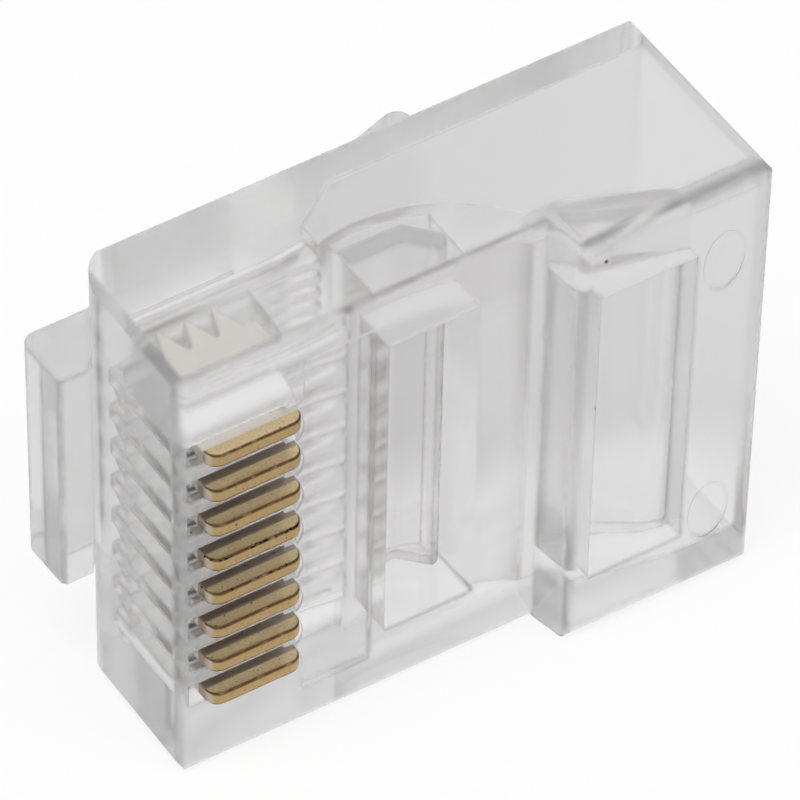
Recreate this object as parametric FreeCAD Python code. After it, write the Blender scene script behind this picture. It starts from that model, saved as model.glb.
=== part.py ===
import FreeCAD, Part
import math
import os

# Eight-way modular plug, uncrimped, standing on one narrow side.
# Length runs along X from the nose (-X) to the cable entry (+X), the latch side faces +Y,
# the contact side faces -Y and the width runs up Z from the resting side at Z = 0.
# "Depth" below is the distance from the latch-side face towards the contact side.

# Body
BODY_LENGTH = 21.46
BODY_WIDTH = 11.68
REAR_DEPTH = 8.0
FRONT_DEPTH = 6.4
STEP_X = 13.85
STEP_RUN = 0.25
FRONT_EDGE_RADIUS = 0.18
REAR_EDGE_RADIUS = 0.42
LATCH_EDGE_RADIUS = 0.16
CORNER_RADIUS = 0.35
NOSE_RADIUS = 1.6
NOSE_DRAFT = 2.0
NOSE_EDGE_RADIUS = 0.36
NOSE_SIDE_BEVEL = 0.25
REAR_SIDE_BEVEL = 0.3
PARTING_DEPTH = 2.2
PARTING_DRAFT = 0.04

# Contacts and the slots that hold them
CONTACT_COUNT = 8
CONTACT_PITCH = 1.016
BLADE_THICKNESS = 0.35
BLADE_SIDE_CLEARANCE = 0.02
BLADE_START = 0.84
BLADE_LENGTH = 3.58
BLADE_CROWN = 7.05
BLADE_HEIGHT = 2.85
BLADE_RADIUS = 0.5
TINE_COUNT = 3
TINE_PITCH = 1.02
TINE_MIDDLE = 2.45
TINE_HEIGHT = 1.12
TINE_TIP = 0.08
TINE_GAP = 0.06
SLOT_START = 0.55
SLOT_END = 4.5
SLOT_BULGE = 0.4
SLOT_FLOOR = 2.02
WIRE_SLOT_WIDTH = 0.6
WIRE_SLOT_START = 0.35
WIRE_SLOT_END = 4.05
WIRE_SLOT_FLOOR = 5.75
RIDGE_END = 4.76
RIDGE_END_RADIUS = 0.43

# Wire channels and the cable cavity
CHANNEL_RADIUS = 0.48
CHANNEL_DEPTH = 2.6
CHANNEL_START = 0.8
FUNNEL_START = 6.2
FUNNEL_RADIUS = 0.62
CAVITY_START = 7.4
CAVITY_SIDE_WALL = 0.85
CAVITY_FLOOR_WALL = 0.9
CAVITY_THROAT_END = 9.2
CAVITY_ROOF_MIDDLE = (11.2, 3.3)
CAVITY_ROOF_END = (13.7, 5.35)
CAVITY_MOUTH_DEPTH = 6.9
MOUTH_BEVEL = 0.35

# Crimping pockets and the strain reliefs in them
RECESS_SIDE_WALL = 1.0
RECESS_SINK = 0.16
POCKET_START = 7.95
POCKET_LENGTH = 3.45
POCKET_SIDE_WALL = 1.64
WINDOW_START = 14.9
WINDOW_LENGTH = 3.7
WINDOW_SIDE_WALL = 1.72
RELIEF_CLEARANCE = 0.05
BAR_ROOT_RADIUS = 0.45
BAR_ROOT_DEPTH = 4.35
BAR_FACE_DEPTH = 3.9
BAR_THICKNESS = 0.75
TONGUE_ROOT_RADIUS = 0.38
TONGUE_ROOT_DEPTH = 7.0
TONGUE_TIP_DEPTH = 5.2
TONGUE_TIP_THICKNESS = 0.6

# Ejector marks
EJECTOR_RADIUS = 0.8
EJECTOR_X = 19.65
EJECTOR_OFFSET = 3.68
EJECTOR_SINK = 0.05

# Latch
LATCH_WIDTH = 6.0
LATCH_FRONT = 0.8
LATCH_HEEL_DEPTH = 0.75
LATCH_SEAT_CLEARANCE = 0.06
LATCH_OUTER = 1.62
LATCH_SHOULDER = 8.4
HANDLE_WIDTH = 3.25
HANDLE_END = 16.7
HANDLE_OUTER = 5.97
HANDLE_THICKNESS = 1.0
LATCH_NOTCH_X = 3.0
LATCH_FRONT_RADIUS = 0.55

MID_Z = BODY_WIDTH / 2
SLOT_WIDTH = BLADE_THICKNESS + 2 * BLADE_SIDE_CLEARANCE


def at(x, depth, z=0.0):
    """Point at a distance from the nose, a depth from the latch side and a height."""
    return FreeCAD.Vector(x - BODY_LENGTH / 2, REAR_DEPTH / 2 - depth, z)


def outline(start, *runs):
    """Closed side-view wire; a run is an end point, or a (middle, end) pair for an arc."""
    edges = []
    here = start
    for run in runs + (start,):
        if isinstance(run[0], tuple):
            middle, end = run
            edges.append(Part.Arc(at(*here), at(*middle), at(*end)).toShape())
        else:
            end = run
            if at(*here).distanceToPoint(at(*end)) > 1e-6:
                edges.append(Part.makeLine(at(*here), at(*end)))
        here = end
    return Part.Wire(edges)


def slab(wire, low, high):
    """Solid of a side-view wire between two heights."""
    face = Part.Face(wire)
    face.translate(FreeCAD.Vector(0, 0, low))
    return face.extrude(FreeCAD.Vector(0, 0, high - low))


def box(x0, x1, depth0, depth1, low, high):
    """Rectangular block between two lengths, depths and heights."""
    return slab(outline((x0, depth0), (x1, depth0), (x1, depth1), (x0, depth1)), low, high)


def round_middle(centre, radius, angle):
    """Point on a circle in the side view; the angle is from the rear towards the latch side."""
    turn = math.radians(angle)
    return (centre[0] + radius * math.cos(turn), centre[1] - radius * math.sin(turn))


def nose_centre():
    """Middle of the rounding between the drafted nose end and the latch side."""
    draft = math.radians(NOSE_DRAFT)
    touch = NOSE_RADIUS * (1 - math.sin(draft))
    run = (FRONT_DEPTH - touch) * math.tan(draft)
    return (run + NOSE_RADIUS * math.cos(draft), NOSE_RADIUS)


def section(depth, radius):
    """Cross-section of the moulding: drafted latch half, rounded edges on the contact side."""
    low, high = 0.0, BODY_WIDTH
    bevel = PARTING_DRAFT + LATCH_EDGE_RADIUS
    s = radius * (1 - math.sqrt(0.5))
    p = [at(0, LATCH_EDGE_RADIUS, low + PARTING_DRAFT), at(0, PARTING_DEPTH, low),
         at(0, depth - radius, low), at(0, depth - s, low + s), at(0, depth, low + radius),
         at(0, depth, high - radius), at(0, depth - s, high - s), at(0, depth - radius, high),
         at(0, PARTING_DEPTH, high), at(0, LATCH_EDGE_RADIUS, high - PARTING_DRAFT),
         at(0, 0, high - bevel), at(0, 0, low + bevel)]
    line = Part.makeLine
    arc_low = Part.Arc(p[2], p[3], p[4]).toShape()
    arc_high = Part.Arc(p[5], p[6], p[7]).toShape()
    edges = [line(p[0], p[1]), line(p[1], p[2]), arc_low, line(p[4], p[5]), arc_high,
             line(p[7], p[8]), line(p[8], p[9]), line(p[9], p[10]), line(p[10], p[11]),
             line(p[11], p[0])]
    return Part.Face(Part.Wire(edges))


def side_view():
    """Outline of the body seen from its narrow side."""
    r = CORNER_RADIUS
    s = r * (1 - math.sqrt(0.5))
    length, deep = BODY_LENGTH, REAR_DEPTH
    step_top = STEP_X + STEP_RUN
    nose = nose_centre()
    nose_touch = round_middle(nose, NOSE_RADIUS, 180 - NOSE_DRAFT)
    nose_middle = round_middle(nose, NOSE_RADIUS, 135)
    edge = NOSE_EDGE_RADIUS
    lift = edge * math.tan(math.radians(NOSE_DRAFT))
    e = edge * (1 - math.sqrt(0.5))
    return outline(
        (nose[0], 0), (length - r, 0), ((length - s, s), (length, r)),
        (length, deep - r), ((length - s, deep - s), (length - r, deep)),
        (step_top + r, deep), ((step_top + s, deep - s), (step_top, deep - r)),
        (STEP_X, FRONT_DEPTH), (edge + lift, FRONT_DEPTH),
        ((e + lift, FRONT_DEPTH - e), (lift, FRONT_DEPTH - edge)),
        nose_touch, (nose_middle, (nose[0], 0)))


def side_bevel(x_face, width, draft):
    """Pair of wedges that bevel the end edges of both narrow sides along a drafted end."""
    lean = math.tan(math.radians(draft))
    far = REAR_DEPTH + 1
    x_far = x_face - lean * (far - FRONT_DEPTH)
    x_in = x_far + width
    wedges = []
    for face, inward in ((BODY_WIDTH, -1), (0.0, 1)):
        over = face - inward
        edge = [(x_far, face + inward * abs(width)), (x_in, face), (x_in, over), (x_far, over)]
        points = [at(x, far, z) for x, z in edge]
        wire = Part.makePolygon(points + points[:1])
        wedges.append(Part.Face(wire).extrude(FreeCAD.Vector(lean, 1, 0) * (far + 1)))
    return wedges


def contact_heights():
    """Mid heights of the contacts, the lowest first."""
    first = MID_Z - CONTACT_PITCH * (CONTACT_COUNT - 1) / 2
    return [first + CONTACT_PITCH * i for i in range(CONTACT_COUNT)]


def slot(height):
    """Slot for one blade down into its wire channel, widened at its mouth for a spring wire."""
    past = BLADE_CROWN + 0.5
    middle = (SLOT_END + SLOT_BULGE * 0.75, (FRONT_DEPTH + SLOT_FLOOR) / 2)
    deep = outline(
        (SLOT_START, SLOT_FLOOR), (SLOT_START, past), (SLOT_END, past),
        (SLOT_END, FRONT_DEPTH), (middle, (SLOT_END + SLOT_BULGE, SLOT_FLOOR)))
    mouth = outline(
        (WIRE_SLOT_START, past), (WIRE_SLOT_START, FRONT_DEPTH - 0.25),
        (SLOT_START, WIRE_SLOT_FLOOR), (WIRE_SLOT_END, WIRE_SLOT_FLOOR), (WIRE_SLOT_END, past))
    narrow = slab(deep, height - SLOT_WIDTH / 2, height + SLOT_WIDTH / 2)
    wide = slab(mouth, height - WIRE_SLOT_WIDTH / 2, height + WIRE_SLOT_WIDTH / 2)
    return narrow.fuse(wide)


def recess():
    """Shallow step behind the contacts, whose front edge runs round the ridges' rear ends."""
    heights = contact_heights()
    floor = FRONT_DEPTH - RECESS_SINK
    cut = box(SLOT_END, CAVITY_START, floor, REAR_DEPTH,
              RECESS_SIDE_WALL, BODY_WIDTH - RECESS_SIDE_WALL)
    ends = []
    for height in [heights[0] - CONTACT_PITCH] + heights:
        foot = at(RIDGE_END - RIDGE_END_RADIUS, REAR_DEPTH + 1, height + CONTACT_PITCH / 2)
        ends.append(Part.makeCylinder(RIDGE_END_RADIUS, REAR_DEPTH, foot,
                                      FreeCAD.Vector(0, 1, 0)))
    low, high = heights[0] - CONTACT_PITCH / 2, heights[-1] + CONTACT_PITCH / 2
    ends.append(box(SLOT_END - 1, RIDGE_END, 0, REAR_DEPTH + 1, 0, low))
    ends.append(box(SLOT_END - 1, RIDGE_END, 0, REAR_DEPTH + 1, high, BODY_WIDTH))
    return cut.cut(Part.makeCompound(ends))


def channel(height):
    """Round bore for one conductor, with a conical mouth towards the cable cavity."""
    along = FreeCAD.Vector(1, 0, 0)
    start = at(CHANNEL_START, CHANNEL_DEPTH, height)
    run = CAVITY_START - CHANNEL_START + 0.1
    bore = Part.makeCylinder(CHANNEL_RADIUS, run, start, along)
    mouth = at(FUNNEL_START, CHANNEL_DEPTH, height)
    flare = CAVITY_START - FUNNEL_START + 0.1
    cone = Part.makeCone(CHANNEL_RADIUS, FUNNEL_RADIUS, flare, mouth, along)
    return bore.fuse(cone)


def cavity():
    """Hollow for the cable, narrowing to a throat at the wire channels."""
    low, high = CAVITY_SIDE_WALL, BODY_WIDTH - CAVITY_SIDE_WALL
    throat_floor = CHANNEL_DEPTH - CHANNEL_RADIUS
    throat_roof = CHANNEL_DEPTH + CHANNEL_RADIUS
    window_end = WINDOW_START + WINDOW_LENGTH
    past = BODY_LENGTH + 1
    wire = outline(
        (CAVITY_START, throat_floor), (CAVITY_THROAT_END, CAVITY_FLOOR_WALL),
        (past, CAVITY_FLOOR_WALL), (past, CAVITY_MOUTH_DEPTH),
        (window_end, CAVITY_MOUTH_DEPTH), (WINDOW_START, CAVITY_ROOF_END[1]),
        CAVITY_ROOF_END, (CAVITY_ROOF_MIDDLE, (CAVITY_START, throat_roof)))
    hollow = slab(wire, low, high)
    rings = []
    for x, grow in ((BODY_LENGTH - MOUTH_BEVEL, 0.0), (BODY_LENGTH + 0.01, MOUTH_BEVEL)):
        d0, d1 = CAVITY_FLOOR_WALL - grow, CAVITY_MOUTH_DEPTH + grow
        z0, z1 = low - grow, high + grow
        corners = [at(x, d0, z0), at(x, d1, z0), at(x, d1, z1), at(x, d0, z1)]
        rings.append(Part.makePolygon(corners + corners[:1]))
    return hollow.fuse(Part.makeLoft(rings, True))


def housing():
    """Clear moulding: nose with its slots, raised rear section, cavity and pockets."""
    along = FreeCAD.Vector(1, 0, 0)
    front = section(FRONT_DEPTH, FRONT_EDGE_RADIUS).extrude(along * (STEP_X + 1))
    rear_face = section(REAR_DEPTH, REAR_EDGE_RADIUS)
    rear_face.translate(along * STEP_X)
    rear = rear_face.extrude(along * (BODY_LENGTH - STEP_X))
    body = front.fuse(rear).common(slab(side_view(), -1, BODY_WIDTH + 1))
    cuts = side_bevel(0.0, NOSE_SIDE_BEVEL, NOSE_DRAFT)
    cuts += side_bevel(BODY_LENGTH, -REAR_SIDE_BEVEL, 0.0)
    for height in contact_heights():
        cuts += [slot(height), channel(height)]
    cuts.append(cavity())
    cuts.append(recess())
    cuts.append(box(POCKET_START, POCKET_START + POCKET_LENGTH, CHANNEL_DEPTH, REAR_DEPTH,
                    POCKET_SIDE_WALL, BODY_WIDTH - POCKET_SIDE_WALL))
    cuts.append(box(WINDOW_START, WINDOW_START + WINDOW_LENGTH, CAVITY_ROOF_END[1] - 0.5,
                    REAR_DEPTH + 1, WINDOW_SIDE_WALL, BODY_WIDTH - WINDOW_SIDE_WALL))
    for side in (-1, 1):
        spot = at(EJECTOR_X, REAR_DEPTH + 0.1, MID_Z + side * EJECTOR_OFFSET)
        disc = Part.makeCylinder(EJECTOR_RADIUS, EJECTOR_SINK + 0.1, spot,
                                 FreeCAD.Vector(0, 1, 0))
        cuts.append(disc)
    return body.cut(Part.makeCompound(cuts))


def latch():
    """Sprung latch: heel at the nose, wide base up to the shoulders, narrow handle."""
    centre = nose_centre()
    seat = NOSE_RADIUS + LATCH_SEAT_CLEARANCE
    heel_angle = 180 - math.degrees(math.asin((NOSE_RADIUS - LATCH_HEEL_DEPTH) / seat))
    heel = round_middle(centre, seat, heel_angle)
    crown = round_middle(centre, seat, 90)
    middle = round_middle(centre, seat, (90 + heel_angle) / 2)
    r = LATCH_FRONT_RADIUS
    s = r * (1 - math.sqrt(0.5))
    slope = math.atan2(HANDLE_OUTER - LATCH_OUTER, HANDLE_END - centre[0])
    drop = HANDLE_THICKNESS / math.cos(slope)
    tip = HANDLE_THICKNESS / 2
    tip_centre = (HANDLE_END - tip, -HANDLE_OUTER + tip)
    tip_out = round_middle(tip_centre, tip, 90 + math.degrees(slope))
    tip_mid = round_middle(tip_centre, tip, math.degrees(slope))
    tip_in = round_middle(tip_centre, tip, -90 + math.degrees(slope))
    notch_outer = LATCH_OUTER + (LATCH_NOTCH_X - centre[0]) * math.tan(slope)
    notch = (LATCH_NOTCH_X, -notch_outer + drop + 0.1)
    wire = outline(
        heel, (middle, crown), notch, tip_in, (tip_mid, tip_out),
        (centre[0], -LATCH_OUTER), (r - LATCH_FRONT, -LATCH_OUTER),
        ((s - LATCH_FRONT, s - LATCH_OUTER), (-LATCH_FRONT, r - LATCH_OUTER)),
        (-LATCH_FRONT, LATCH_HEEL_DEPTH - 0.15), (-LATCH_FRONT + 0.15, LATCH_HEEL_DEPTH))
    base = slab(wire, MID_Z - LATCH_WIDTH / 2, MID_Z + LATCH_WIDTH / 2)
    past = HANDLE_OUTER + HANDLE_THICKNESS
    base = base.common(box(-past, LATCH_SHOULDER, -past, past, 0, BODY_WIDTH))
    handle = slab(wire, MID_Z - HANDLE_WIDTH / 2, MID_Z + HANDLE_WIDTH / 2)
    return base.fuse(handle).removeSplitter()


def contact(height):
    """Gold-plated blade with a rounded crown and piercing tines below."""
    x0, x1 = BLADE_START, BLADE_START + BLADE_LENGTH
    r = BLADE_RADIUS
    s = r * (1 - math.sqrt(0.5))
    top, root = BLADE_CROWN, BLADE_CROWN - BLADE_HEIGHT
    reach = TINE_PITCH / 2 - TINE_GAP
    runs = [((x0 + s, top - s), (x0 + r, top)), (x1 - r, top),
            ((x1 - s, top - s), (x1, top - r)), (x1, root)]
    for i in range(TINE_COUNT):
        x = TINE_MIDDLE + TINE_PITCH * ((TINE_COUNT - 1) / 2 - i)
        runs += [(x + reach, root), (x + TINE_TIP, root - TINE_HEIGHT),
                 (x - TINE_TIP, root - TINE_HEIGHT), (x - reach, root)]
    runs.append((x0, root))
    wire = outline((x0, top - r), *runs)
    return slab(wire, height - BLADE_THICKNESS / 2, height + BLADE_THICKNESS / 2)


def conductor_strain_relief():
    """Bar that the crimping tool folds down onto the conductors."""
    gap = RELIEF_CLEARANCE
    end = POCKET_START + POCKET_LENGTH - gap
    r = BAR_ROOT_RADIUS
    root = (end - r, BAR_ROOT_DEPTH)
    front = POCKET_START + gap
    face, back = BAR_FACE_DEPTH, BAR_FACE_DEPTH - BAR_THICKNESS
    wire = outline(
        (front, face), (front, back + 0.1), (front + 0.1, back), (root[0] - r, back + 0.05),
        round_middle(root, r, 60), (round_middle(root, r, 0), round_middle(root, r, -90)),
        (root[0] - 2 * r, face))
    low = POCKET_SIDE_WALL + gap
    return slab(wire, low, BODY_WIDTH - low)


def jacket_strain_relief():
    """Sloping tongue that the crimping tool presses into the cable jacket."""
    gap = RELIEF_CLEARANCE
    end = WINDOW_START + WINDOW_LENGTH - gap
    r = TONGUE_ROOT_RADIUS
    root = (end - r, TONGUE_ROOT_DEPTH)
    front = WINDOW_START + gap
    inner, outer = TONGUE_TIP_DEPTH, TONGUE_TIP_DEPTH + TONGUE_TIP_THICKNESS
    wire = outline(
        (front, outer), (front, inner + 0.1), (front + 0.1, inner),
        (front + WINDOW_LENGTH / 3, inner), round_middle(root, r, 90),
        (round_middle(root, r, 0), round_middle(root, r, -90)),
        (root[0] - 2 * r, TONGUE_ROOT_DEPTH + r / 2))
    low = WINDOW_SIDE_WALL + gap
    return slab(wire, low, BODY_WIDTH - low)


def save(name, shape):
    """Write one sub-part as parts/NAME.step."""
    shape.exportStep(os.path.join("parts", name + ".step"))


os.makedirs("parts", exist_ok=True)
save("housing", housing())
save("latch", latch())
for number, mid_height in enumerate(contact_heights(), start=1):
    save("contact_" + str(number), contact(mid_height))
save("conductor_strain_relief", conductor_strain_relief())
save("jacket_strain_relief", jacket_strain_relief())
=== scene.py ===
"""An uncrimped clear modular plug, standing on its narrow side in a pale studio."""

import logging
import math
from dataclasses import dataclass, field
from enum import Enum
from typing import Optional

import bpy
import numpy as np
from mathutils import Matrix, Vector


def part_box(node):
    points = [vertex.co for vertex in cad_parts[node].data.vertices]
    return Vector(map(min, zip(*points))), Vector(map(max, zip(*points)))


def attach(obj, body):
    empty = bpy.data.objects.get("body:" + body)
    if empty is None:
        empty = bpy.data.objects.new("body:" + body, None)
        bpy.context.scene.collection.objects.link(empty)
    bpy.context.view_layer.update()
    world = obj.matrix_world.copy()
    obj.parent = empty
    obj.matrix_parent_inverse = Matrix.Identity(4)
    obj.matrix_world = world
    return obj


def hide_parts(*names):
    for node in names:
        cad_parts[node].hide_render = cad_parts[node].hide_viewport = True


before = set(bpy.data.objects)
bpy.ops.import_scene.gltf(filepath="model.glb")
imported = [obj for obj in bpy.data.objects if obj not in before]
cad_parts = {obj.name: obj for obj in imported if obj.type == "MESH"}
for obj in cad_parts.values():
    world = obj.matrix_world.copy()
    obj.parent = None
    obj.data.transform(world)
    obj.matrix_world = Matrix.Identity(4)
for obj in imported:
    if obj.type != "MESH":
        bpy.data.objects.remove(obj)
LOG = logging.getLogger("plug")
MM = 0.001

Colour = tuple[float, float, float]


class Slot(Enum):
    """The record's material slots."""

    CLEAR = "clear_plastic"
    GOLD = "gold_plate"


class Moulded(Enum):
    """The clear pieces that keep their own CAD surface."""

    HOUSING = "housing"
    LATCH = "latch"
    BAR = "conductor_strain_relief"
    TONGUE = "jacket_strain_relief"


def bearing(azimuth: float, elevation: float) -> tuple[float, float, float]:
    """Unit direction towards a bearing from the contact side and a height, in degrees."""
    a, e = math.radians(azimuth), math.radians(elevation)
    return (math.sin(a) * math.cos(e), -math.cos(a) * math.cos(e), math.sin(e))


class NodeSheet:
    """A material's or a world's node tree, with short ways to add and join nodes."""

    def __init__(self, tree: bpy.types.NodeTree) -> None:
        """Clears the tree and keeps it."""
        self.tree = tree
        self.tree.nodes.clear()

    def add(self, kind: str, inputs: Optional[dict] = None,
            **settings: object) -> bpy.types.Node:
        """Adds a node.

        Args:
            kind: the node's type name.
            inputs: values or sockets to put into the named or numbered inputs.
            settings: attributes to set on the node itself.

        Returns:
            The new node.
        """
        node = self.tree.nodes.new(kind)
        for key, value in settings.items():
            setattr(node, key, value)
        for key, value in (inputs or {}).items():
            if isinstance(value, bpy.types.NodeSocket):
                self.tree.links.new(value, node.inputs[key])
            else:
                node.inputs[key].default_value = value
        return node

    def sum_up(self, operation: str, *values: object) -> bpy.types.NodeSocket:
        """One Math node on up to three numbers or sockets; returns its output."""
        node = self.add("ShaderNodeMath", dict(enumerate(values)), operation=operation)
        return node.outputs[0]

    def noise(self, coords: bpy.types.NodeSocket, scale: float, detail: float = 3.0,
              rough: float = 0.5) -> bpy.types.NodeSocket:
        """Fractal noise on the given coordinates; returns its 0 to 1 factor."""
        node = self.add("ShaderNodeTexNoise", {"Vector": coords, "Scale": scale,
                                               "Detail": detail, "Roughness": rough})
        return node.outputs["Fac"]

    def step(self, value: bpy.types.NodeSocket, low: float, high: float,
             out_low: float = 0.0, out_high: float = 1.0) -> bpy.types.NodeSocket:
        """Clamped smooth step.

        Args:
            value: the number or socket to map.
            low: the value that gives out_low.
            high: the value that gives out_high.
            out_low: the result at and before low.
            out_high: the result at and past high.

        Returns:
            The mapped value.
        """
        limits = {0: value, 1: low, 2: high, 3: out_low, 4: out_high}
        node = self.add("ShaderNodeMapRange", limits,
                        interpolation_type="SMOOTHSTEP", clamp=True)
        return node.outputs[0]

    def blend(self, factor: object, first: object, second: object) -> bpy.types.NodeSocket:
        """Mixes two colours; returns the mixed colour."""
        node = self.add("ShaderNodeMix", {0: factor, 6: first, 7: second}, data_type="RGBA")
        return node.outputs[2]


@dataclass(frozen=True)
class Speck:
    """A grain of dust on the contact side, in millimetres: its place from the housing's lowest
    corner, its radius, and for a fibre how far it reaches along the plug."""

    along: float
    deep: float
    high: float
    radius: float
    reach: float = 0.0


DUST = (
    Speck(14.99, 0.0, 11.00, 0.055),
    Speck(17.44, 0.0, 7.93, 0.05),
    Speck(14.85, 0.0, 6.82, 0.035),
    Speck(15.09, 0.0, 6.43, 0.022, 0.13),
    Speck(13.98, 0.0, 10.73, 0.025),
    Speck(17.51, 0.0, 6.09, 0.022),
    Speck(18.14, 0.0, 5.65, 0.022),
    Speck(17.41, 0.0, 3.89, 0.026),
)


@dataclass(frozen=True)
class ClearPlastic:
    """Moulded polycarbonate: tinted refraction through a slightly hazy skin with soft edges."""

    name: str = "clear_polycarbonate"
    tint: Colour = (1.0, 0.994, 0.995)
    cloud_tint: Colour = (0.99, 0.984, 0.986)
    cloud_scale: float = 90.0
    cloud_detail: float = 2.0
    cloud_span: tuple[float, float] = (0.4, 0.7)
    ior: float = 1.585
    clearness: float = 0.95
    roughness: float = 0.13
    edge_radius: float = 0.2 * MM
    edge_samples: int = 2
    dust_colour: Colour = (0.0, 0.0, 0.0)
    grain_core: float = 0.75
    grain_rim: float = 1.25

    def dusty(self, sheet: NodeSheet, place: bpy.types.NodeSocket) -> bpy.types.NodeSocket:
        """Marks the dust: each grain is where the distance to its middle, less the part that runs
        along its own reach, falls under its radius.

        Args:
            sheet: the material's node tree.
            place: the object coordinates.

        Returns:
            1 on a grain and 0 elsewhere.
        """
        low = Vector(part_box(Moulded.HOUSING.value)[0])
        marks = 0.0
        for grain in DUST:
            middle = low + Vector((grain.along, grain.deep, grain.high)) * MM
            offset = sheet.add("ShaderNodeVectorMath", {0: place, 1: middle},
                               operation="SUBTRACT").outputs[0]
            if grain.reach:
                squeeze = grain.radius / grain.reach
                offset = sheet.add("ShaderNodeMapping",
                                   {"Vector": offset, "Scale": (squeeze, 1, 1)},
                                   vector_type="POINT").outputs[0]
            far = sheet.add("ShaderNodeVectorMath", {0: offset},
                            operation="LENGTH").outputs["Value"]
            spot = sheet.step(far, grain.radius * self.grain_core * MM,
                              grain.radius * self.grain_rim * MM, 1.0, 0.0)
            marks = sheet.sum_up("MAXIMUM", marks, spot)
        return marks

    def build(self) -> bpy.types.Material:
        """Makes the material.

        Returns:
            The material.
        """
        material = bpy.data.materials.new(self.name)
        material.use_nodes = True
        sheet = NodeSheet(material.node_tree)
        place = sheet.add("ShaderNodeTexCoord").outputs["Object"]
        clouds = sheet.step(sheet.noise(place, self.cloud_scale, self.cloud_detail),
                            *self.cloud_span)
        clean = sheet.blend(clouds, (*self.tint, 1.0), (*self.cloud_tint, 1.0))
        colour = sheet.blend(self.dusty(sheet, place), clean, (*self.dust_colour, 1.0))
        soft = sheet.add("ShaderNodeBevel", {"Radius": self.edge_radius},
                         samples=self.edge_samples)
        shader = sheet.add("ShaderNodeBsdfPrincipled",
                           {"Base Color": colour, "Roughness": self.roughness, "IOR": self.ior,
                            "Transmission Weight": self.clearness, "Normal": soft.outputs[0]})
        sheet.add("ShaderNodeOutputMaterial", {"Surface": shader.outputs[0]})
        return material


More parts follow.
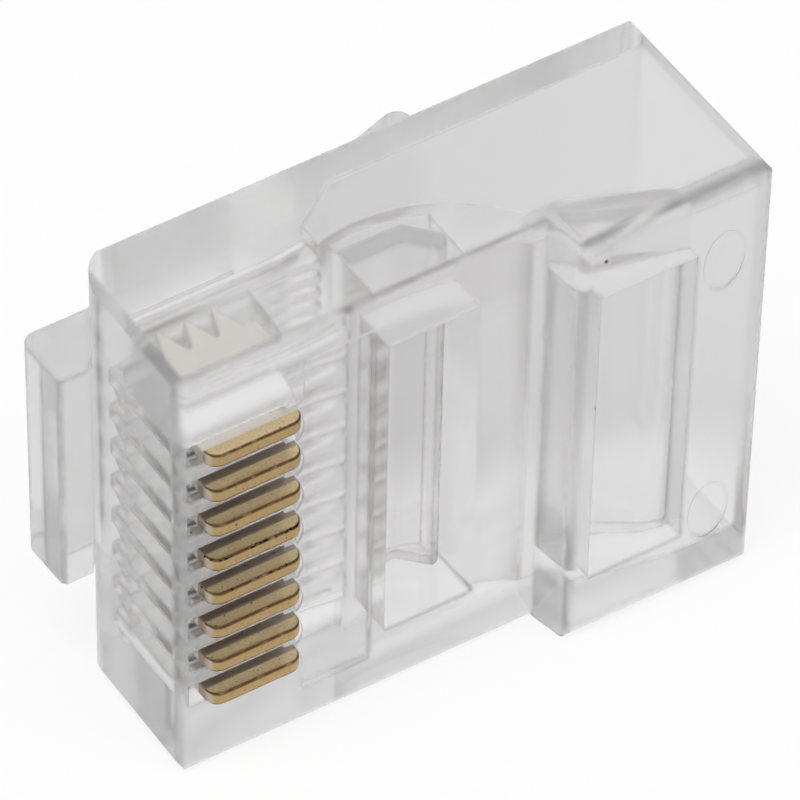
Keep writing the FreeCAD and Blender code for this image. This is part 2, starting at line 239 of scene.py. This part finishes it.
@dataclass(frozen=True)
class GoldPlate:
    """Gold on the crowns of nickel-plated blades: satin faces, brown bare edges, a little dust."""

    name: str = "gold_plate"
    face: Colour = (1.0, 0.80, 0.47)
    face_dull: Colour = (0.84, 0.66, 0.38)
    rim: Colour = (0.64, 0.44, 0.20)
    rim_dull: Colour = (0.52, 0.37, 0.19)
    bare: Colour = (0.12, 0.06, 0.03)
    nickel: Colour = (0.94, 0.90, 0.83)
    cut: Colour = (0.62, 0.53, 0.42)
    # painted shade and reflection: the browner tone in the slots' mouths of blades with a
    # neighbour above
    mouth_shade: Colour = (0.54, 0.45, 0.36)
    dust: Colour = (0.02, 0.017, 0.015)
    roughness: float = 0.36
    rough_less: float = 0.08
    rough_more: float = 0.1
    drawn_stretch: float = 0.2
    drawn_scale: float = 9000.0
    drawn_rough: float = 0.6
    drawn_span: tuple[float, float] = (0.2, 0.8)
    patch_scale: float = 12000.0
    patch_rough: float = 0.7
    patch_span: tuple[float, float] = (0.38, 0.68)
    rolled_span: tuple[float, float] = (0.6, 0.9)
    worn_scale: float = 2600.0
    worn_step: tuple[float, float, float, float] = (0.25, 0.5, 0.55, 1.0)
    front_step: tuple[float, float, float, float] = (-0.85, -0.6, 1.0, 0.0)
    speck_scale: float = 9000.0
    speck_detail: float = 1.0
    speck_clean: float = 0.75
    speck_soiled: float = 0.54
    bump_strength: float = 0.5
    bump_height: float = 0.004 * MM
    gold_limit: float = -2.61 * MM
    gold_fade: float = 0.05 * MM
    # depth where the painted shade in the slots' mouths begins
    mouth_shade_limit: float = -2.2 * MM

    def build(self) -> bpy.types.Material:
        """Makes the material.

        The edge attribute marks the bare stamped edges. The soil attribute tells how much dust
        lies on a blade's rim. The gap attribute marks the blades with a neighbour above them:
        in their slots' mouths the nickel takes a browner tone, painted shade and reflection
        standing in for the blade above's shadow and what the clear ridge beside it reflects.

        Returns:
            The material.
        """
        material = bpy.data.materials.new(self.name)
        material.use_nodes = True
        sheet = NodeSheet(material.node_tree)
        place = sheet.add("ShaderNodeTexCoord").outputs["Object"]
        drawn = sheet.add("ShaderNodeMapping",
                          {"Vector": place, "Scale": (self.drawn_stretch, 1.0, 1.0)})
        grain = sheet.noise(drawn.outputs[0], self.drawn_scale, rough=self.drawn_rough)
        patches = sheet.step(sheet.noise(place, self.patch_scale, rough=self.patch_rough),
                             *self.patch_span)
        facing = sheet.add("ShaderNodeTexCoord").outputs["Normal"]
        facing = sheet.add("ShaderNodeSeparateXYZ", {0: facing})
        rolled = sheet.step(sheet.sum_up("ABSOLUTE", facing.outputs["Z"]), *self.rolled_span)
        rims = sheet.blend(patches, (*self.rim, 1.0), (*self.rim_dull, 1.0))
        faces = sheet.blend(patches, (*self.face, 1.0), (*self.face_dull, 1.0))
        plating = sheet.blend(rolled, rims, faces)
        edge = sheet.add("ShaderNodeAttribute", attribute_name="edge").outputs["Fac"]
        worn = sheet.step(sheet.noise(place, self.worn_scale), *self.worn_step)
        broken = sheet.sum_up("MULTIPLY", edge, worn)
        edged = sheet.blend(broken, plating, (*self.bare, 1.0))
        front = sheet.step(facing.outputs["X"], *self.front_step)
        ended = sheet.blend(front, edged, (*self.cut, 1.0))
        depth = sheet.add("ShaderNodeSeparateXYZ", {0: place}).outputs["Y"]
        below = sheet.step(depth, self.gold_limit, self.gold_limit + self.gold_fade)
        gap = sheet.add("ShaderNodeAttribute", attribute_name="gap").outputs["Fac"]
        # painted shade and reflection: deeper than this limit, blades with a neighbour above turn
        # browner
        mouth_shade = sheet.step(depth, self.mouth_shade_limit - self.gold_fade, self.mouth_shade_limit, 1.0, 0.0)
        hidden = sheet.blend(sheet.sum_up("MULTIPLY", gap, mouth_shade), (*self.nickel, 1.0),
                             (*self.mouth_shade, 1.0))
        plated = sheet.blend(below, ended, hidden)
        soil = sheet.add("ShaderNodeAttribute", attribute_name="soil").outputs["Fac"]
        limit = sheet.step(sheet.sum_up("MULTIPLY", soil, edge), 0.0, 1.0,
                           self.speck_clean, self.speck_soiled)
        dusty = sheet.noise(place, self.speck_scale, self.speck_detail)
        specks = sheet.sum_up("GREATER_THAN", dusty, limit)
        colour = sheet.blend(specks, plated, (*self.dust, 1.0))
        rough = sheet.step(grain, *self.drawn_span, self.roughness - self.rough_less,
                           self.roughness + self.rough_more)
        bump = sheet.add("ShaderNodeBump", {"Height": grain, "Strength": self.bump_strength,
                                            "Distance": self.bump_height})
        shader = sheet.add("ShaderNodeBsdfPrincipled",
                           {"Base Color": colour, "Metallic": 1.0, "Roughness": rough,
                            "Normal": bump.outputs[0]})
        sheet.add("ShaderNodeOutputMaterial", {"Surface": shader.outputs[0]})
        return material


@dataclass
class ContactRow:
    """The eight blades, each a stamped outline carried through its thickness."""

    finish: bpy.types.Material
    count: int = 8
    corner_radius: float = 0.5 * MM
    root_height: float = 2.85 * MM
    tine_count: int = 3
    tine_pitch: float = 1.02 * MM
    tine_shift: float = -0.18 * MM
    tine_tip: float = 0.08 * MM
    tine_gap: float = 0.06 * MM
    edge_radius: float = 0.075 * MM
    arc_points: int = 14
    edge_rings: int = 5
    soiled: dict[int, float] = field(default_factory=lambda: {5: 1.0, 4: 0.6})

    def arc(self, centre: tuple[float, float], radius: float, start: float,
            end: float) -> np.ndarray:
        """Points of an arc: centre plus radius times (cos, sin) of evenly spaced angles."""
        angle = np.radians(np.linspace(start, end, self.arc_points))
        return np.stack([centre[0] + radius * np.cos(angle),
                         centre[1] + radius * np.sin(angle)], 1)

    def outline(self, low: Vector, high: Vector) -> np.ndarray:
        """Side outline of one blade.

        Args:
            low: lowest corner of the blade's box; low.y is the crown.
            high: highest corner; high.y is the tips of the tines.

        Returns:
            An (n, 2) array of X and Y, counter-clockwise seen from above.
        """
        r = self.corner_radius
        crown = np.concatenate([self.arc((low.x + r, low.y + r), r, 180, 270),
                                self.arc((high.x - r, low.y + r), r, 270, 360)])
        root = low.y + self.root_height
        middle = (low.x + high.x) / 2 + self.tine_shift
        order = np.arange(self.tine_count)
        x = middle + self.tine_pitch * ((self.tine_count - 1) / 2 - order)
        reach = self.tine_pitch / 2 - self.tine_gap
        offsets = np.array([reach, self.tine_tip, -self.tine_tip, -reach])
        heights = np.array([root, high.y, high.y, root])
        tines = np.stack([x[:, None] + offsets[None, :],
                          np.broadcast_to(heights, (self.tine_count, 4))], 2).reshape(-1, 2)
        return np.concatenate([crown, [(high.x, root)], tines, [(low.x, root)]])

    def inward(self, ring: np.ndarray) -> np.ndarray:
        """Inward normals of an outline: at each point, the way from the point before to the point
        after, turned a quarter left and scaled to length 1.

        Args:
            ring: the (n, 2) points of a closed counter-clockwise outline.

        Returns:
            The (n, 2) unit normals.
        """
        along = np.roll(ring, -1, 0) - np.roll(ring, 1, 0)
        normal = np.stack([-along[:, 1], along[:, 0]], 1)
        return normal / np.linalg.norm(normal, axis=1, keepdims=True)

    def mark(self, mesh: bpy.types.Mesh, name: str, values: np.ndarray) -> None:
        """Stores one number a point on a mesh."""
        data = values.astype(np.float32)
        mesh.attributes.new(name, "FLOAT", "POINT").data.foreach_set("value", data)

    def blade(self, node: str, number: int) -> bpy.types.Object:
        """Makes one blade: rings of the outline, drawn in by e(1 - sin a) as the height rises by
        e(1 - cos a) at each face, so both faces meet the rim in a quarter round. The edge mark is
        the root of sin 2a: 1 in the middle of the round and 0 where it meets face and rim.

        Args:
            node: the CAD node that the blade stands for.
            number: the blade's number, for its name.

        Returns:
            The new object.
        """
        low, high = (Vector(corner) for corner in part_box(node))
        ring = self.outline(low, high)
        inward = self.inward(ring)
        turn = np.radians(np.linspace(0, 90, self.edge_rings))
        e = self.edge_radius
        inset = np.concatenate([e * (1 - np.sin(turn)), e * (1 - np.sin(turn[::-1]))])
        level = np.concatenate([low.z + e * (1 - np.cos(turn)),
                                high.z - e * (1 - np.cos(turn[::-1]))])
        flat = ring[None] + inset[:, None, None] * inward[None]
        height = np.broadcast_to(level[:, None, None], (*flat.shape[:2], 1))
        points = np.concatenate([flat, height], 2).reshape(-1, 3)
        rows, n = len(level), len(ring)
        i, j = np.meshgrid(np.arange(rows - 1), np.arange(n), indexing="ij")
        k = (j + 1) % n
        corners = [i * n + j, i * n + k, (i + 1) * n + k, (i + 1) * n + j]
        quads = np.stack(corners, 2).reshape(-1, 4)
        caps = [list(range(n))[::-1], list(range((rows - 1) * n, rows * n))]
        faces = quads.tolist() + caps
        mesh = bpy.data.meshes.new(f"blade_{number}")
        mesh.from_pydata(points.tolist(), [], faces)
        rim = np.concatenate([np.sin(turn * 2), np.sin(turn[::-1] * 2)]) ** 0.5
        self.mark(mesh, "edge", np.repeat(np.clip(rim, 0, 1), n))
        has_neighbour_above = 0.0 if number == self.count else 1.0
        self.mark(mesh, "gap", np.full(rows * n, has_neighbour_above))
        self.mark(mesh, "soil", np.full(rows * n, self.soiled.get(number, 0.0)))
        mesh.polygons.foreach_set("use_smooth", np.arange(len(faces)) < len(quads))
        mesh.materials.append(self.finish)
        blade = bpy.data.objects.new(f"blade_{number}", mesh)
        bpy.context.scene.collection.objects.link(blade)
        return blade

    def build(self) -> None:
        """Makes every blade and puts it on its body in place of its CAD node."""
        for number in range(1, self.count + 1):
            node = f"contact_{number}"
            blade = self.blade(node, number)
            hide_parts(node)
            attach(blade, f"blade_{number}")
            LOG.info("%s stands for %s", blade.name, node)


@dataclass
class ClearMouldings:
    """The housing and the pieces moulded on to it, which keep their CAD surfaces."""

    finish: bpy.types.Material

    def build(self) -> None:
        """Dresses each moulded node in the clear plastic."""
        for piece in Moulded:
            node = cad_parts[piece.value]
            node.data.materials.clear()
            node.data.materials.append(self.finish)
            LOG.info("%s dressed in %s", piece.value, self.finish.name)


@dataclass(frozen=True)
class Panel:
    """Soft round panel of light in the surroundings: its bearing from the contact side, its
    height and half its angular size in degrees, and the light it adds in its middle."""

    azimuth: float
    elevation: float
    spread: float
    strength: float


@dataclass(frozen=True)
class Lamp:
    """Square soft lamp: bearing and height in degrees, distance and side in metres, watts."""

    name: str
    azimuth: float
    elevation: float
    distance: float
    size: float
    power: float


@dataclass
class Studio:
    """Pale floor, white surroundings and soft lamps. What the clear and glossy pieces see of
    the floor and the surroundings has levels of its own, beside the light on plain faces."""

    floor_size: float = 3.0
    floor_drop: float = 0.03 * MM
    floor_colour: Colour = (0.95, 0.95, 0.95)
    white_share: float = 0.84
    grey_seen: float = 0.67
    # painted pool of light: how bright clear and glossy pieces see the floor round the plug's foot
    foot_pool_light: float = 0.95
    foot_near: float = 4.5 * MM
    foot_far: float = 8.0 * MM
    foot_squeeze: float = 0.5
    sky_light: float = 0.5
    seen_low: float = 0.74
    seen_high: float = 0.56
    dim_from: float = 0.1
    dim_to: float = 0.9
    panel_full: float = 0.6
    panel_end: float = 1.2
    panels: tuple[Panel, ...] = (
        Panel(-70.0, 60.0, 30.0, 0.35),
        Panel(35.0, 40.0, 26.0, 0.2),
        Panel(145.0, 33.0, 42.0, 0.22),
        Panel(-35.0, 5.0, 60.0, 0.2))
    lamps: tuple[Lamp, ...] = (
        Lamp("key", -70, 60, 0.25, 0.16, 0.32),
        Lamp("fill", 35, 40, 0.3, 0.2, 0.2))

    def through_or_off(self, sheet: NodeSheet,
                       path: bpy.types.Node) -> bpy.types.NodeSocket:
        """1 for rays that come through a clear piece or off its gloss, 0 for others."""
        return sheet.sum_up("MAXIMUM", path.outputs["Is Glossy Ray"],
                            path.outputs["Is Transmission Ray"])

    def floor(self) -> None:
        """Makes the floor: mostly plain white, with a share that takes the soft shadow, and a
        painted pool of light round the plug's foot that only clear and glossy pieces see.
        """
        half, low = self.floor_size / 2, -self.floor_drop
        corners = [(-half, -half, low), (half, -half, low), (half, half, low), (-half, half, low)]
        mesh = bpy.data.meshes.new("floor")
        mesh.from_pydata(corners, [], [(0, 1, 2, 3)])
        floor = bpy.data.objects.new("floor", mesh)
        bpy.context.scene.collection.objects.link(floor)
        material = bpy.data.materials.new("pale_floor")
        material.use_nodes = True
        sheet = NodeSheet(material.node_tree)
        matt = sheet.add("ShaderNodeBsdfDiffuse", {"Color": (*self.floor_colour, 1.0)})
        path = sheet.add("ShaderNodeLightPath")
        place = sheet.add("ShaderNodeTexCoord").outputs["Object"]
        # painted pool of light: the floor glows brighter round the plug's foot for clear and
        # glossy pieces
        round_foot = sheet.add("ShaderNodeMapping",
                               {"Vector": place, "Scale": (self.foot_squeeze, 1.0, 0.0)})
        far = sheet.add("ShaderNodeVectorMath", {0: round_foot.outputs[0]},
                        operation="LENGTH").outputs["Value"]
        seen = sheet.step(far, self.foot_near, self.foot_far, self.foot_pool_light, self.grey_seen)
        level = sheet.sum_up("MAXIMUM", path.outputs["Is Camera Ray"], seen)
        white = sheet.add("ShaderNodeEmission", {"Color": (1, 1, 1, 1), "Strength": level})
        seen_directly = sheet.sum_up("MAXIMUM", path.outputs["Is Camera Ray"],
                                     self.through_or_off(sheet, path))
        share = sheet.sum_up("MULTIPLY", seen_directly, self.white_share)
        mixed = sheet.add("ShaderNodeMixShader", {0: share, 1: matt.outputs[0],
                                                  2: white.outputs[0]})
        sheet.add("ShaderNodeOutputMaterial", {"Surface": mixed.outputs[0]})
        mesh.materials.append(material)

    def panel(self, sheet: NodeSheet, direction: bpy.types.NodeSocket,
              panel: Panel) -> bpy.types.NodeSocket:
        """Light of one panel, full out to panel_full of its spread and gone at panel_end of it.

        Args:
            sheet: the world's node tree.
            direction: the direction looked in.
            panel: the panel to add.

        Returns:
            The light added in each direction.
        """
        middle = bearing(panel.azimuth, panel.elevation)
        towards = sheet.add("ShaderNodeVectorMath", {0: direction, 1: middle},
                            operation="DOT_PRODUCT").outputs["Value"]
        edge = math.cos(math.radians(panel.spread * self.panel_end))
        full = math.cos(math.radians(panel.spread * self.panel_full))
        return sheet.step(towards, edge, full, 0.0, panel.strength)

    def surroundings(self) -> None:
        """Makes the world: white to the lens, dimmer overhead to gloss and to clear pieces."""
        world = bpy.data.worlds.new("studio")
        bpy.context.scene.world = world
        world.use_nodes = True
        sheet = NodeSheet(world.node_tree)
        direction = sheet.add("ShaderNodeTexCoord").outputs["Generated"]
        height = sheet.add("ShaderNodeSeparateXYZ", {0: direction}).outputs["Z"]
        falloff = sheet.step(height, self.dim_from, self.dim_to, self.seen_low, self.seen_high)
        for panel in self.panels:
            falloff = sheet.sum_up("ADD", falloff, self.panel(sheet, direction, panel))
        path = sheet.add("ShaderNodeLightPath")
        gloss = self.through_or_off(sheet, path)
        seen = sheet.sum_up("MULTIPLY", gloss, falloff)
        others = sheet.sum_up("SUBTRACT", 1.0, gloss)
        plain = sheet.sum_up("MULTIPLY", others, self.sky_light)
        soft = sheet.sum_up("ADD", seen, plain)
        strength = sheet.sum_up("MAXIMUM", path.outputs["Is Camera Ray"], soft)
        light = sheet.add("ShaderNodeBackground", {"Color": (1, 1, 1, 1), "Strength": strength})
        sheet.add("ShaderNodeOutputWorld", {"Surface": light.outputs[0]})

    def lamp(self, lamp: Lamp) -> None:
        """Puts a lamp round the plug, aimed at it and unseen in gloss and clear pieces."""
        data = bpy.data.lights.new(lamp.name, "AREA")
        data.size, data.energy = lamp.size, lamp.power
        light = bpy.data.objects.new(lamp.name, data)
        back = Vector(bearing(lamp.azimuth, lamp.elevation))
        light.location = back * lamp.distance
        light.visible_transmission = light.visible_glossy = False
        light.rotation_mode = "QUATERNION"
        light.rotation_quaternion = (-back).to_track_quat("-Z", "Y")
        bpy.context.scene.collection.objects.link(light)

    def build(self) -> None:
        """Sets up floor, surroundings and lamps."""
        self.floor()
        self.surroundings()
        for lamp in self.lamps:
            self.lamp(lamp)
        LOG.info("studio ready")


@dataclass
class Viewpoint:
    """A long lens on a skewed mount, which narrows the picture sideways as the view asks."""

    azimuth: float = -34.536
    elevation: float = 32.872
    roll: float = 1.67
    distance: float = 243.389 * MM
    aim: tuple[float, float, float] = (-1.737 * MM, -1.503 * MM, 7.682 * MM)
    sensor_width: float = 36.0
    lens: float = 344.77
    nearest: float = 0.02
    furthest: float = 50.0
    skew: float = -39.716

    def build(self) -> None:
        """Makes the mount and the camera: the mount carries place and turn, and its skew leans
        the picture's upright axis along the line of sight by the skew angle."""
        back = Vector(bearing(self.azimuth, self.elevation))
        turn = back.to_track_quat("Z", "Y").to_matrix()
        turn = turn @ Matrix.Rotation(math.radians(self.roll), 3, "Z")
        mount = bpy.data.objects.new("camera_mount", None)
        place = Matrix.Translation(Vector(self.aim) + back * self.distance)
        mount.matrix_world = place @ turn.to_4x4()
        bpy.context.scene.collection.objects.link(mount)
        data = bpy.data.cameras.new("camera")
        data.sensor_width, data.lens = self.sensor_width, self.lens
        data.clip_start, data.clip_end = self.nearest, self.furthest
        camera = bpy.data.objects.new("camera", data)
        bpy.context.scene.collection.objects.link(camera)
        lean = math.radians(self.skew)
        camera.parent = mount
        camera.matrix_parent_inverse = Matrix((
            (1, 0, 0, 0), (0, math.cos(lean), 0, 0), (0, math.sin(lean), 1, 0), (0, 0, 0, 1)))
        bpy.context.scene.camera = camera


@dataclass
class Rendering:
    """Settings that the clear pieces need."""

    bounces: int = 16

    def build(self) -> None:
        """Lets light pass through many clear walls and sets plain colour handling."""
        scene = bpy.context.scene
        scene.view_settings.view_transform = "Standard"
        cycles = scene.cycles
        cycles.max_bounces = self.bounces
        cycles.transmission_bounces = self.bounces
        cycles.glossy_bounces = self.bounces


def main() -> None:
    """Builds the plug and its studio in order."""
    logging.basicConfig(level=logging.INFO, format="%(name)s: %(message)s")
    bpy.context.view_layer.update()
    clear = ClearPlastic().build()
    gold = GoldPlate().build()
    ClearMouldings(clear).build()
    ContactRow(gold).build()
    Studio().build()
    Viewpoint().build()
    Rendering().build()
    LOG.info("sizes written")


if __name__ == "__main__":
    main()
